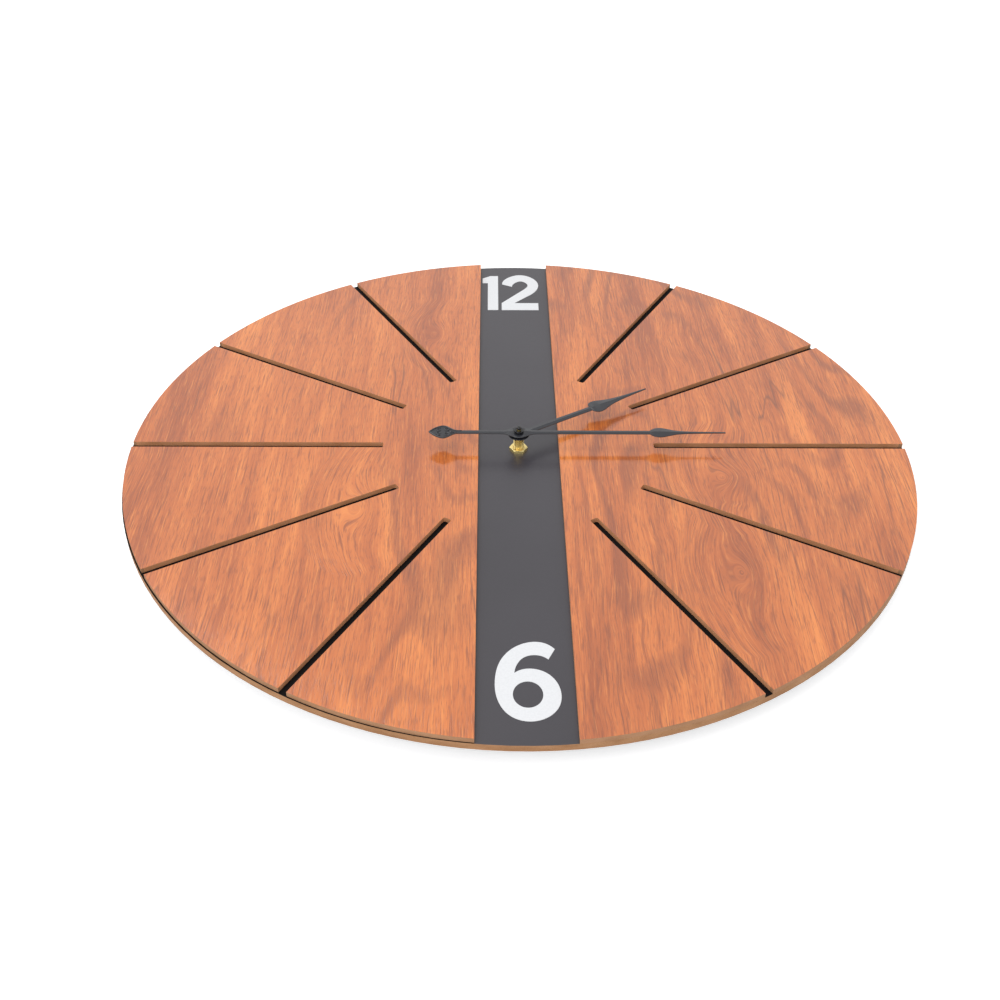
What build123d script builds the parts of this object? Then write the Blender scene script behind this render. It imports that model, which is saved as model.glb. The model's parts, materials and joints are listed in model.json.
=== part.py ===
"""Round quartz wall clock: black back board, two slotted wood panels, hands and movement.

The clock lies on its back. +Z is the dial normal, +Y points to 12 o'clock, +X to 3 o'clock.
The origin is on the arbor axis, in the plane that the movement's back rests on.
All lengths are in millimetres.
"""

from build123d import *
import math
import os

# ---- dial ----------------------------------------------------------------------------------------
DIAL_R = 300.0
BOARD_T = 5.0
PANEL_T = 3.7
STRIP_W = 62.5                  # black strip that stays bare between the panels
SLOT_W = 6.4
SLOT_INNER_R = 105.0
SLOT_CORNER_R = 1.4
SLOT_OVERRUN = 20.0             # how far a slot's outline runs out past the rim
LEFT_PANEL_SHIFT = (0.9, 0.6)   # the left panel is glued slightly off centre
RIGHT_HOURS = (1, 2, 3, 4, 5)
LEFT_HOURS = (7, 8, 9, 10, 11)
NUMERAL_T = 0.25
FIT = 0.02                      # radial gap of a press or screw fit
HOLE_GAP = 0.1                  # radial gap of a loose hole over the bushing
CUT = 1.0                       # how far a cutting solid runs out past a face

# ---- movement case -------------------------------------------------------------------------------
CASE_HALF = 28.0
CASE_Z = 16.0
CASE_WALL = 1.6
CASE_CORNER_R = 3.0
COVER_T = 1.4
COVER_LUG_X = 12.0
COVER_LUG_W = 4.0
COVER_LUG_H = 2.5
FRONT_T = 2.0
FRONT_Z = CASE_Z - FRONT_T
BAY_WALL_Y = (-10.4, -9.4)      # wall between the battery bay and the train
BAY_WALL_HALF_X = 25.0
STRAP_T = 0.8
STRAP_W = 14.0
STRAP_TAIL_Y = -9.0
STRAP_BEND_Y = CASE_HALF + 1.2
STRAP_EYE_Z = 0.6               # underside of the strap's eye
HANGER_EYE_Y = 38.0
HANGER_EYE_R = 3.5
GASKET_T = 1.0
GASKET_R = 14.0

# ---- battery, size AA ----------------------------------------------------------------------------
CELL_R = 7.25
CELL_LEN = 49.4
CELL_NUB_R = 2.7
CELL_NUB_LEN = 1.1
CELL_Y = -18.3
CELL_Z = 7.75
CELL_EDGE_R = 0.5
CELL_HEADROOM = 0.3
CONTACT_T = 0.3
CONTACT_HALF_W = 5.0
CONTACT_LOW_Z = 2.4
CONTACT_TOP_Z = 13.0
CONTACT_TAB_Y = 6.0
CONTACT_TAB_H = 2.0
CONTACT_BUMP_H = 0.5
CONTACT_BUMP_R = (3.2, 2.0)

# ---- heights worked out from the stack -----------------------------------------------------------
BOARD_Z = CASE_Z + STRAP_T + GASKET_T
FACE_Z = BOARD_Z + BOARD_T      # black face of the back board
PANEL_Z = FACE_Z + PANEL_T      # wood face of the panels

# ---- arbor stack through the dial ----------------------------------------------------------------
BUSH_R = 4.0
BUSH_BORE_R = 2.65
BUSH_TOP = FACE_Z + 12.6
BUSH_FLANGE_R = 5.5
BUSH_FLANGE_T = 1.0
THREAD_PITCH = 1.0
THREAD_DEPTH = 0.3
THREAD_LEAD_IN = 0.4            # plain end above the last turn
NUT_FLATS = 12.4
NUT_T = 2.4
NUT_CHAMFER = 0.35
THREAD_Z = FACE_Z + NUT_T - 1.0
HOUR_TUBE_R = 2.58
HOUR_TUBE_BORE_R = 1.65
MINUTE_ARBOR_R = 1.6
MINUTE_BORE_R = 0.56
SECONDS_ARBOR_R = 0.5
HOUR_HAND_Z = BUSH_TOP + 0.9
HAND_T = 0.6
HOUR_TUBE_TOP = HOUR_HAND_Z + 1.0
MINUTE_HAND_Z = HOUR_HAND_Z + 2.1
NUT_SEAT_Z = MINUTE_HAND_Z + HAND_T + 0.1
HAND_NUT_R = 3.7
HAND_NUT_T = 1.8
HAND_NUT_CHAMFER = 0.3
MINUTE_TOP = NUT_SEAT_Z + HAND_NUT_T + 0.4
CAP_Z = MINUTE_TOP + 0.8
CAP_R = 1.9
CAP_T = 1.7
CAP_ROUND = 1.2
CAP_NECK_R = 1.0
CAP_NECK_T = 0.5
CAP_SOCKET = 1.0                # depth of the seconds arbor in the cap
HOUR_COLLET_R = 3.2
HOUR_COLLET_FLANGE_R = 3.8
HOUR_COLLET_FLANGE_T = 0.6
HOUR_COLLET_LIP = 0.4
MINUTE_COLLET_R = 2.4
MINUTE_COLLET_FLANGE_R = 3.0
MINUTE_COLLET_FLANGE_T = 0.5

# ---- hands ---------------------------------------------------------------------------------------
MINUTE_ANGLE = 90.0             # degrees clockwise from 12
HOUR_ANGLE = 58.0
MINUTE_LEN = 159.5
HOUR_LEN = 123.0
MINUTE_HUB_R = 7.4
HOUR_HUB_R = 7.95
MINUTE_BAR = 1.8                # half width of the minute hand's bar
HOUR_BAR = 2.2
HAND_TIP = 0.45                 # half width of each hand's point

# ---- gear train: teeth and modules ---------------------------------------------------------------
PRESSURE = math.radians(20)
ADDENDUM = 0.9
DEDENDUM = 1.25
BACKLASH = 0.03                 # taken off each gear's tooth thickness
WHEEL_T = 0.7

ROTOR_MESH = dict(module=0.25, pinion=8, wheel=40, shift=0.5)
SECONDS_MESH = dict(module=0.3, pinion=8, wheel=48, shift=0.5)
THIRD_MESH = dict(module=0.27, pinion=8, wheel=60, shift=0.5)
CENTRE_MESH = dict(module=0.255, pinion=8, wheel=64, shift=0.5)
MOTION_MESH = dict(module=0.35, pinion=12, wheel=36, shift=0.3)
HOUR_MESH = dict(module=0.336, pinion=10, wheel=40, shift=0.4)
KNOB_TEETH = 10

# ---- gear train: directions of the arbors, degrees from +X ---------------------------------------
INTERMEDIATE_DIR = 90.0
ROTOR_DIR = 90.0
THIRD_DIR = 180.0
MOTION_DIR = 30.0
KNOB_DIR = -25.0

# ---- gear train: heights -------------------------------------------------------------------------
ROTOR_WHEEL_Z = 3.6
SECONDS_WHEEL_Z = 5.0
THIRD_WHEEL_Z = 6.5
PLATE_Z = 7.8
PLATE_T = 1.0
CENTRE_WHEEL_Z = 9.4
MOTION_WHEEL_Z = 10.9
HOUR_WHEEL_Z = 12.3
PINION_OVERHANG = 0.3
MOTION_OVERHANG = 0.2           # the same for the pinions under the dial
PIVOT_R = 0.3
PIVOT_LOW_Z = COVER_T + 0.4
PIVOT_HIGH_Z = PLATE_Z + 0.8
RUNNING = 0.05                  # radial gap of a turning fit
BEARING_H = 1.4
COVER_BEARING_R = 1.3
FRONT_BEARING_R = 1.2
FRONT_BEARING_Z = CENTRE_WHEEL_Z + 1.5
FRONT_PIVOT_DEPTH = 0.6         # into the case's front wall
STUD_R = 0.6
POSTS = [(-22.0, 12.0), (22.0, 12.0), (-22.0, -6.0), (22.0, -6.0)]
POST_R = 2.0
POST_PIN_R = 1.0
POST_PIN_DROP = 0.8             # how far a pin runs out below the train plate
PLATE_BOX = (-25.0, 25.0, -8.9, 17.0)
PLATE_THIRD_HOLE_R = 1.8
KNOB_R = 4.5
KNOB_HOLE_R = 5.0
KNOB_SHAFT_R = 0.9
KNOB_SHAFT_DEPTH = 0.9          # into the case's front wall
KNOB_GRIP_Z = (0.3, 2.2)
KNOB_FLUTES = 24
KNOB_FLUTE_R = 0.35

# ---- drive: stator, coil and circuit -------------------------------------------------------------
STATOR_Z = 5.6
STATOR_T = 1.0
STATOR_HALF_X = 14.0
STATOR_LEG_X = 10.2
STATOR_Y = (11.4, 17.6)
STATOR_LEG_END = 3.0            # how far a leg runs past the coil's axis
STATOR_NOTCH_R = 0.5
STATOR_NOTCH_DIRS = (60, 240)
MAGNET_R = 2.2
MAGNET_GAP = 0.6
MAGNET_BORE_R = 0.6
MAGNET_DROP = 0.6               # the magnet stands out past both faces of the stator
COIL_Y = 22.0
COIL_HALF = 9.0
CORE_HALF_Y = 1.6
CORE_T = 1.0
BOBBIN_WALL = 0.5
BOBBIN_FLANGE_T = 0.8
BOBBIN_FLANGE_HALF = (3.8, 3.7) # half width along Y and along Z
WINDING_HALF = (3.4, 3.3)
WINDING_ROUND = 1.4
CIRCUIT_Z = 2.2
CIRCUIT_T = 0.8
CIRCUIT_BOX = (15.2, 25.2, 8.0, 25.6)
CIRCUIT_POST_R = 1.2
CIRCUIT_POSTS = [(17.0, 10.0), (23.4, 24.0)]
CHIP_PLACE = (20.0, 12.6)
CHIP_R = 2.6
CHIP_T = 0.9
CHIP_ROUND = 0.7
CRYSTAL_PLACE = (20.0, 20.6)
CRYSTAL_R = 1.0
CRYSTAL_LEN = 6.0


def centre_distance(mesh):
    return mesh["module"] * (mesh["pinion"] + mesh["wheel"]) / 2


def polar(origin, distance, degrees):
    """The point at a distance and direction from another."""
    angle = math.radians(degrees)
    return (origin[0] + distance * math.cos(angle), origin[1] + distance * math.sin(angle))


ARBOR = (0.0, 0.0)
INTERMEDIATE = polar(ARBOR, centre_distance(SECONDS_MESH), INTERMEDIATE_DIR)
ROTOR = polar(INTERMEDIATE, centre_distance(ROTOR_MESH), ROTOR_DIR)
THIRD = polar(ARBOR, centre_distance(THIRD_MESH), THIRD_DIR)
MOTION = polar(ARBOR, centre_distance(MOTION_MESH), MOTION_DIR)
KNOB_DISTANCE = MOTION_MESH["module"] * (MOTION_MESH["wheel"] + KNOB_TEETH) / 2
KNOB = polar(MOTION, KNOB_DISTANCE, KNOB_DIR)


# ---- plain solids --------------------------------------------------------------------------------
def block(x0, x1, y0, y1, z0, z1):
    """A box between two corners."""
    centre = ((x0 + x1) / 2, (y0 + y1) / 2, (z0 + z1) / 2)
    return Pos(*centre) * Box(x1 - x0, y1 - y0, z1 - z0)


def rod(radius, z0, z1, at=ARBOR):
    """A cylinder along Z."""
    return Pos(at[0], at[1], (z0 + z1) / 2) * Cylinder(radius, z1 - z0)


def hole(radius, z0, z1, at=ARBOR):
    """The solid that cuts a round hole along Z clean through both faces."""
    return rod(radius, z0 - CUT, z1 + CUT, at)


def ring(outer, inner, z0, z1, at=ARBOR):
    """A cylinder along Z with a hole through it."""
    return rod(outer, z0, z1, at) - hole(inner, z0, z1, at)


def prism(sketch, z0, z1):
    """A flat outline made thick along Z."""
    return extrude(Pos(0, 0, z0) * sketch, amount=z1 - z0, dir=(0, 0, 1))


def rounded_block(half, z0, z1, radius):
    return prism(RectangleRounded(2 * half, 2 * half, radius), z0, z1)


def save(node, shape):
    """Write one sub-part as parts/NODE.step."""
    shape.label = node
    export_step(shape, os.path.join("parts", node + ".step"))


# ---- gears ---------------------------------------------------------------------------------------
def involute(angle):
    return math.tan(angle) - angle


def gear_face(teeth, module, shift, phase):
    """A spur gear's outline. One tooth is centred on the direction phase, in degrees."""
    pitch_r = module * teeth / 2
    base_r = pitch_r * math.cos(PRESSURE)
    tip_r = pitch_r + module * (ADDENDUM + shift)
    root_r = pitch_r - module * (DEDENDUM - shift)
    half_pitch = (math.pi / 2 + 2 * shift * math.tan(PRESSURE)) / teeth - BACKLASH / (2 * pitch_r)
    flank_r = max(base_r, root_r)

    def half_angle(radius):
        return half_pitch + involute(PRESSURE) - involute(math.acos(min(1.0, base_r / radius)))

    def at(radius, angle):
        return Vector(radius * math.cos(angle), radius * math.sin(angle))

    middle_r = (flank_r + tip_r) / 2
    step = 2 * math.pi / teeth
    edges = []
    for index in range(teeth):
        centre = math.radians(phase) + index * step
        start = centre - half_angle(flank_r)
        end = centre + half_angle(flank_r)
        tip = half_angle(tip_r)
        if root_r < base_r:
            edges.append(Line(at(root_r, start), at(flank_r, start)))
        middle = half_angle(middle_r)
        edges.append(ThreePointArc(at(flank_r, start), at(middle_r, centre - middle),
                                   at(tip_r, centre - tip)))
        edges.append(ThreePointArc(at(tip_r, centre - tip), at(tip_r, centre),
                                   at(tip_r, centre + tip)))
        edges.append(ThreePointArc(at(tip_r, centre + tip), at(middle_r, centre + middle),
                                   at(flank_r, end)))
        if root_r < base_r:
            edges.append(Line(at(flank_r, end), at(root_r, end)))
        next_start = start + step
        edges.append(ThreePointArc(at(root_r, end), at(root_r, (end + next_start) / 2),
                                   at(root_r, next_start)))
    return Face(Wire(edges))


def gear(teeth, module, shift, phase, z0, z1, at=ARBOR):
    face = gear_face(teeth, module, shift, phase)
    return Pos(at[0], at[1], 0) * prism(face, z0, z1)


def pinion_of(mesh, direction, z0, z1, at):
    """The pinion of a pair, with a tooth on the line to the wheel."""
    return gear(mesh["pinion"], mesh["module"], mesh["shift"], direction, z0, z1, at)


def wheel_of(mesh, direction, z0, z1, at):
    """The wheel of a pair, with a gap on the line to the pinion."""
    phase = direction + 180.0 / mesh["wheel"]
    return gear(mesh["wheel"], mesh["module"], -mesh["shift"], phase, z0, z1, at)


def windows(count, radius, hole_r, z0, z1, at):
    """A circle of round lightening holes in a wheel."""
    holes = []
    for index in range(count):
        place = polar(at, radius, 45 + index * 360 / count)
        holes.append(hole(hole_r, z0, z1, place))
    return holes


# ---- dial ----------------------------------------------------------------------------------------
def hour_slot(hour):
    """A slot that runs from its rounded inner end out past the rim."""
    length = DIAL_R - SLOT_INNER_R + SLOT_OVERRUN
    outline = RectangleRounded(length, SLOT_W, SLOT_CORNER_R)
    middle = SLOT_INNER_R + length / 2
    return Rot(0, 0, 90 - 30 * hour) * Pos(middle, 0) * outline


def panel(side, hours, shift):
    """One D-shaped front panel with its hour slots; side is -1 or 1."""
    disc = Pos(*shift) * Circle(DIAL_R)
    half = Pos(side * (STRIP_W / 2 + DIAL_R), 0) * Rectangle(2 * DIAL_R, 2.2 * DIAL_R)
    outline = disc & half
    for hour in hours:
        outline -= hour_slot(hour)
    return prism(outline, FACE_Z, PANEL_Z)


def make_dial():
    save("back_board", ring(DIAL_R, BUSH_R + 2 * HOLE_GAP, BOARD_Z, FACE_Z))
    save("left_panel", panel(-1, LEFT_HOURS, LEFT_PANEL_SHIFT))
    save("right_panel", panel(1, RIGHT_HOURS, (0, 0)))


def flat_glyph(*lines):
    return prism(make_face(Curve() + list(lines)), FACE_Z, FACE_Z + NUMERAL_T)


def numeral_one():
    foot, top = 217.5, 282.5
    left, stem_left, stem_right = -29.4, -24.4, -14.8
    flag_low, flag_high = 268.5, 277.5
    return flat_glyph(
        Polyline((left, flag_high), (left, flag_low), (stem_left, flag_low), (stem_left, foot),
                 (stem_right, foot), (stem_right, top), (stem_left + 2.6, top)),
        ThreePointArc((stem_left + 2.6, top), (stem_left - 0.4, 280.6), (left, flag_high)),
    )


def numeral_two():
    foot, bar_top = 217.5, 230.3
    left, right = -11.6, 22.1
    return flat_glyph(
        Polyline((left, bar_top), (left, foot), (right, foot), (right, bar_top), (0.1, bar_top),
                 (13.8, 244.6)),
        Spline((13.8, 244.6), (20.4, 253.6), (23.0, 264.8), (17.6, 278.4), (6.6, 284.4),
               (-5.2, 279.2), (-10.9, 266.2)),
        Line((-10.9, 266.2), (-1.6, 261.6)),
        Spline((-1.6, 261.6), (1.2, 269.0), (6.6, 272.3), (12.9, 265.4), (9.6, 256.6),
               (4.0, 249.6)),
        Line((4.0, 249.6), (left, bar_top)),
    )


def numeral_six():
    body = flat_glyph(
        Spline((19.5, -219.7), (6.2, -213.1), (-4.8, -216.9), (-14.8, -228.6), (-18.9, -246.2),
               (-16.4, -266.2), (-8.8, -277.2), (1.8, -281.0), (13.6, -277.4), (20.4, -269.0),
               (22.1, -259.4), (19.4, -248.0), (12.6, -240.0), (3.6, -237.0), (-6.7, -240.7)),
        Spline((-6.7, -240.7), (-4.0, -231.4), (0.4, -226.5), (5.4, -225.0), (15.1, -228.9)),
        Line((15.1, -228.9), (19.5, -219.7)),
    )
    counter = Pos(1.5, -259.0) * Ellipse(9.4, 11.0)
    return body - prism(counter, FACE_Z - CUT, FACE_Z + CUT)


def make_numerals():
    save("numeral_12", Compound(children=[numeral_one(), numeral_two()]))
    save("numeral_6", numeral_six())


# ---- hands ---------------------------------------------------------------------------------------
def mirrored(*upper):
    """A face symmetric about X from the edges of its upper half, which end on X."""
    lower = [mirror(edge, about=Plane.XZ) for edge in upper]
    return make_face(Curve() + list(upper) + lower)


def point_hand(outline, hub_r, bore_r, z, degrees):
    """A hand made thick at its height, with its hub, and turned from +X to its hour angle."""
    plate = prism(outline, z, z + HAND_T) + rod(hub_r, z, z + HAND_T)
    plate -= hole(bore_r, z, z + HAND_T)
    return Rot(0, 0, 90 - degrees) * plate


def make_hands():
    tail, spade_from = -44.0, 101.0
    spade = mirrored(
        Line((tail, MINUTE_BAR), (spade_from, MINUTE_BAR)),
        Spline((spade_from, MINUTE_BAR), (104.6, 4.4), (109.0, 5.9), (114.4, 4.3), (123.0, 1.9),
               (136.0, 1.0), (MINUTE_LEN, HAND_TIP)),
        Line((MINUTE_LEN, HAND_TIP), (MINUTE_LEN, 0)),
        Spline((tail, MINUTE_BAR), (-49.5, 2.6), (-57.5, 8.1), (-64.5, 5.4), (-69.5, 0.0)),
    )
    save("minute_hand", point_hand(spade, MINUTE_HUB_R, MINUTE_COLLET_R + FIT, MINUTE_HAND_Z,
                                   MINUTE_ANGLE))
    spade_from = 68.0
    spade = mirrored(
        Line((0, 0), (0, HOUR_BAR)),
        Line((0, HOUR_BAR), (spade_from, HOUR_BAR)),
        Spline((spade_from, HOUR_BAR), (70.2, 6.0), (74.0, 7.6), (80.5, 5.6), (90.0, 2.9),
               (102.0, 1.5), (HOUR_LEN, HAND_TIP)),
        Line((HOUR_LEN, HAND_TIP), (HOUR_LEN, 0)),
    )
    save("hour_hand", point_hand(spade, HOUR_HUB_R, HOUR_COLLET_R + FIT, HOUR_HAND_Z,
                                 HOUR_ANGLE))


def make_hand_fittings():
    bore = HOUR_TUBE_R + FIT
    collet = ring(HOUR_COLLET_FLANGE_R, bore, HOUR_HAND_Z - HOUR_COLLET_FLANGE_T, HOUR_HAND_Z)
    collet += ring(HOUR_COLLET_R, bore, HOUR_HAND_Z, HOUR_HAND_Z + HAND_T + HOUR_COLLET_LIP)
    save("hour_hand_collet", collet)
    bore = MINUTE_ARBOR_R + FIT
    flange_z = MINUTE_HAND_Z - MINUTE_COLLET_FLANGE_T
    collet = ring(MINUTE_COLLET_FLANGE_R, bore, flange_z, MINUTE_HAND_Z)
    collet += ring(MINUTE_COLLET_R, bore, MINUTE_HAND_Z, NUT_SEAT_Z)
    save("minute_hand_collet", collet)
    nut = rod(HAND_NUT_R, NUT_SEAT_Z, NUT_SEAT_Z + HAND_NUT_T)
    nut = chamfer(nut.edges().filter_by(GeomType.CIRCLE), HAND_NUT_CHAMFER)
    nut -= hole(bore, NUT_SEAT_Z, NUT_SEAT_Z + HAND_NUT_T)
    save("hand_nut", nut)
    cap = rod(CAP_R, CAP_Z, CAP_Z + CAP_T)
    cap = fillet(cap.edges().group_by(Axis.Z)[-1], CAP_ROUND)
    cap += rod(CAP_NECK_R, CAP_Z - CAP_NECK_T, CAP_Z)
    cap -= rod(SECONDS_ARBOR_R + FIT / 2, CAP_Z - CUT, CAP_Z + CAP_SOCKET)
    save("arbor_cap", cap)


# ---- bushing and its nut -------------------------------------------------------------------------
def make_bushing():
    body = rod(BUSH_R - THREAD_DEPTH, FRONT_Z, BUSH_TOP)
    body += rod(BUSH_FLANGE_R, FRONT_Z, FRONT_Z + BUSH_FLANGE_T)
    body += rod(BUSH_R, FRONT_Z, THREAD_Z)
    turns = int((BUSH_TOP - THREAD_LEAD_IN - THREAD_Z) / THREAD_PITCH)
    for turn in range(turns):
        low = THREAD_Z + turn * THREAD_PITCH
        ridge = Cone(BUSH_R - THREAD_DEPTH, BUSH_R, THREAD_PITCH / 2)
        body += Pos(0, 0, low + THREAD_PITCH / 4) * ridge
        ridge = Cone(BUSH_R, BUSH_R - THREAD_DEPTH, THREAD_PITCH / 2)
        body += Pos(0, 0, low + 3 * THREAD_PITCH / 4) * ridge
    body -= hole(BUSH_BORE_R, FRONT_Z, BUSH_TOP)
    save("threaded_bushing", body)

    blank = prism(RegularPolygon(NUT_FLATS / 2, 6, major_radius=False), FACE_Z, FACE_Z + NUT_T)
    cone_r = NUT_FLATS / math.sqrt(3)
    shape = Pos(0, 0, FACE_Z + NUT_T / 2) * Cylinder(cone_r, NUT_T)
    shape = chamfer(shape.edges().filter_by(GeomType.CIRCLE), NUT_CHAMFER)
    nut = (blank & shape) - hole(BUSH_R + FIT, FACE_Z, FACE_Z + NUT_T)
    save("hex_nut", nut)


# ---- movement case -------------------------------------------------------------------------------
def bay_block(z0, z1):
    """The battery bay's clear space."""
    half = CASE_HALF - CASE_WALL
    return block(-half, half, -half, BAY_WALL_Y[0], z0, z1)


def make_case():
    inner = CASE_HALF - CASE_WALL
    plate_top = PLATE_Z + PLATE_T
    case = rounded_block(CASE_HALF, COVER_T, CASE_Z, CASE_CORNER_R)
    case -= rounded_block(inner, COVER_T - CUT, FRONT_Z, CASE_CORNER_R - CASE_WALL)
    case += block(-BAY_WALL_HALF_X, BAY_WALL_HALF_X, *BAY_WALL_Y, COVER_T, FRONT_Z)
    case -= bay_block(FRONT_Z - CUT, CELL_Z + CELL_R + CELL_HEADROOM)
    case -= hole(BUSH_R + FIT, FRONT_Z, CASE_Z)
    case -= rod(BUSH_FLANGE_R + FIT, FRONT_Z - CUT, FRONT_Z + BUSH_FLANGE_T)
    for post in POSTS:
        case += rod(POST_R, plate_top, FRONT_Z, post)
        case += rod(POST_PIN_R, PLATE_Z - POST_PIN_DROP, plate_top, post)
    case += rod(STUD_R, MOTION_WHEEL_Z - PINION_OVERHANG, FRONT_Z, MOTION)
    case += rod(FRONT_BEARING_R, FRONT_BEARING_Z, FRONT_Z, THIRD)
    case -= rod(PIVOT_R + RUNNING, FRONT_BEARING_Z - CUT, FRONT_Z + FRONT_PIVOT_DEPTH, THIRD)
    knob_top = FRONT_Z + KNOB_SHAFT_DEPTH + PINION_OVERHANG
    case -= rod(KNOB_SHAFT_R + RUNNING, FRONT_Z - CUT, knob_top, KNOB)
    save("movement_case", case)


def make_cover():
    cover = rounded_block(CASE_HALF, 0, COVER_T, CASE_CORNER_R)
    cover -= bay_block(-CUT, COVER_T + CUT)
    cover -= hole(KNOB_HOLE_R, 0, COVER_T, KNOB)
    pivots = [(ARBOR, SECONDS_ARBOR_R), (INTERMEDIATE, PIVOT_R), (ROTOR, PIVOT_R), (THIRD, PIVOT_R)]
    for place, pivot in pivots:
        cover += rod(COVER_BEARING_R, COVER_T, COVER_T + BEARING_H, place)
        cover -= rod(pivot + RUNNING, COVER_T, COVER_T + BEARING_H + CUT, place)
    for place in CIRCUIT_POSTS:
        cover += rod(CIRCUIT_POST_R, COVER_T, CIRCUIT_Z, place)
    wall_y = CASE_HALF - CASE_WALL
    for x in (-COVER_LUG_X, COVER_LUG_X):
        cover += block(x - COVER_LUG_W / 2, x + COVER_LUG_W / 2, wall_y - CUT, wall_y - RUNNING,
                       COVER_T, COVER_T + COVER_LUG_H)
    save("movement_cover", cover)


def make_plate():
    holes = [(ARBOR, SECONDS_ARBOR_R), (INTERMEDIATE, PIVOT_R), (ROTOR, PIVOT_R),
             (KNOB, KNOB_SHAFT_R)]
    holes += [(post, POST_PIN_R) for post in POSTS]
    top = PLATE_Z + PLATE_T
    plate = block(*PLATE_BOX, PLATE_Z, top)
    plate -= hole(PLATE_THIRD_HOLE_R, PLATE_Z, top, THIRD)
    for place, radius in holes:
        plate -= hole(radius + RUNNING, PLATE_Z, top, place)
    save("train_plate", plate)


# ---- drive: stator, coil, circuit ----------------------------------------------------------------
def make_stator():
    top = STATOR_Z + STATOR_T
    plate = block(-STATOR_HALF_X, STATOR_HALF_X, *STATOR_Y, STATOR_Z, top)
    for side in (-1, 1):
        x0, x1 = sorted((side * STATOR_LEG_X, side * STATOR_HALF_X))
        plate += block(x0, x1, STATOR_Y[1], COIL_Y + STATOR_LEG_END, STATOR_Z, top)
    plate -= hole(MAGNET_R + MAGNET_GAP, STATOR_Z, top, ROTOR)
    for degrees in STATOR_NOTCH_DIRS:
        notch = polar(ROTOR, MAGNET_R + MAGNET_GAP, degrees)
        plate -= hole(STATOR_NOTCH_R, STATOR_Z, top, notch)
    save("stator", plate)


def make_coil():
    core_z = STATOR_Z + STATOR_T
    core_top = core_z + CORE_T
    core_y = (COIL_Y - CORE_HALF_Y, COIL_Y + CORE_HALF_Y)
    save("coil_core", block(-STATOR_HALF_X, STATOR_HALF_X, *core_y, core_z, core_top))

    sleeve_y = (core_y[0] - BOBBIN_WALL, core_y[1] + BOBBIN_WALL)
    sleeve_z = (core_z - BOBBIN_WALL, core_top + BOBBIN_WALL)
    middle_z = (core_z + core_top) / 2
    half_y, half_z = BOBBIN_FLANGE_HALF
    flange_y = (COIL_Y - half_y, COIL_Y + half_y)
    bobbin = block(-COIL_HALF, COIL_HALF, *sleeve_y, *sleeve_z)
    for side in (-1, 1):
        x0, x1 = sorted((side * COIL_HALF, side * (COIL_HALF - BOBBIN_FLANGE_T)))
        bobbin += block(x0, x1, *flange_y, middle_z - half_z, middle_z + half_z)
    bobbin -= block(-COIL_HALF - CUT, COIL_HALF + CUT, *core_y, core_z, core_top)
    save("coil_bobbin", bobbin)

    half = COIL_HALF - BOBBIN_FLANGE_T
    half_y, half_z = WINDING_HALF
    winding = block(-half, half, COIL_Y - half_y, COIL_Y + half_y, middle_z - half_z,
                    middle_z + half_z)
    winding = fillet(winding.edges().filter_by(Axis.X), WINDING_ROUND)
    winding -= block(-half - CUT, half + CUT, *sleeve_y, *sleeve_z)
    save("coil_winding", winding)


def make_circuit():
    top = CIRCUIT_Z + CIRCUIT_T
    save("circuit_board", block(*CIRCUIT_BOX, CIRCUIT_Z, top))
    blob = rod(CHIP_R, top, top + CHIP_T, CHIP_PLACE)
    blob = fillet(blob.edges().group_by(Axis.Z)[-1], CHIP_ROUND)
    save("chip_blob", blob)
    crystal = Rot(90, 0, 0) * Cylinder(CRYSTAL_R, CRYSTAL_LEN)
    save("quartz_crystal", Pos(*CRYSTAL_PLACE, top + CRYSTAL_R) * crystal)


def make_contacts():
    """Battery contacts: a leaf with a pressed bump at each end of the bay."""
    edge_y = CELL_Y + CONTACT_HALF_W
    tab_top = CONTACT_LOW_Z + CONTACT_TAB_H
    for node, side in (("positive_contact", 1), ("negative_contact", -1)):
        x_outer = side * (CASE_HALF - CASE_WALL)
        x_inner = x_outer - side * CONTACT_T
        x0, x1 = sorted((x_outer, x_inner))
        leaf = block(x0, x1, CELL_Y - CONTACT_HALF_W, edge_y, CONTACT_LOW_Z, CONTACT_TOP_Z)
        leaf += block(x0, x1, edge_y - CUT, CONTACT_TAB_Y, CONTACT_LOW_Z, tab_top)
        bump = Rot(0, -side * 90, 0) * Cone(*CONTACT_BUMP_R, CONTACT_BUMP_H)
        leaf += Pos(x_inner - side * CONTACT_BUMP_H / 2, CELL_Y, CELL_Z) * bump
        save(node, leaf)


def make_battery():
    cell = Rot(0, 90, 0) * Cylinder(CELL_R, CELL_LEN)
    cell = fillet(cell.edges().filter_by(GeomType.CIRCLE), CELL_EDGE_R)
    nub = Rot(0, 90, 0) * Cylinder(CELL_NUB_R, CELL_NUB_LEN)
    cell += Pos((CELL_LEN + CELL_NUB_LEN) / 2, 0, 0) * nub
    save("battery", Pos(-CELL_NUB_LEN / 2, CELL_Y, CELL_Z) * cell)


# ---- wheels --------------------------------------------------------------------------------------
def levels(z, overhang=0.0):
    """The two faces of a wheel at a height, or of a pinion that stands out past them."""
    return z - overhang, z + WHEEL_T + overhang


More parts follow.
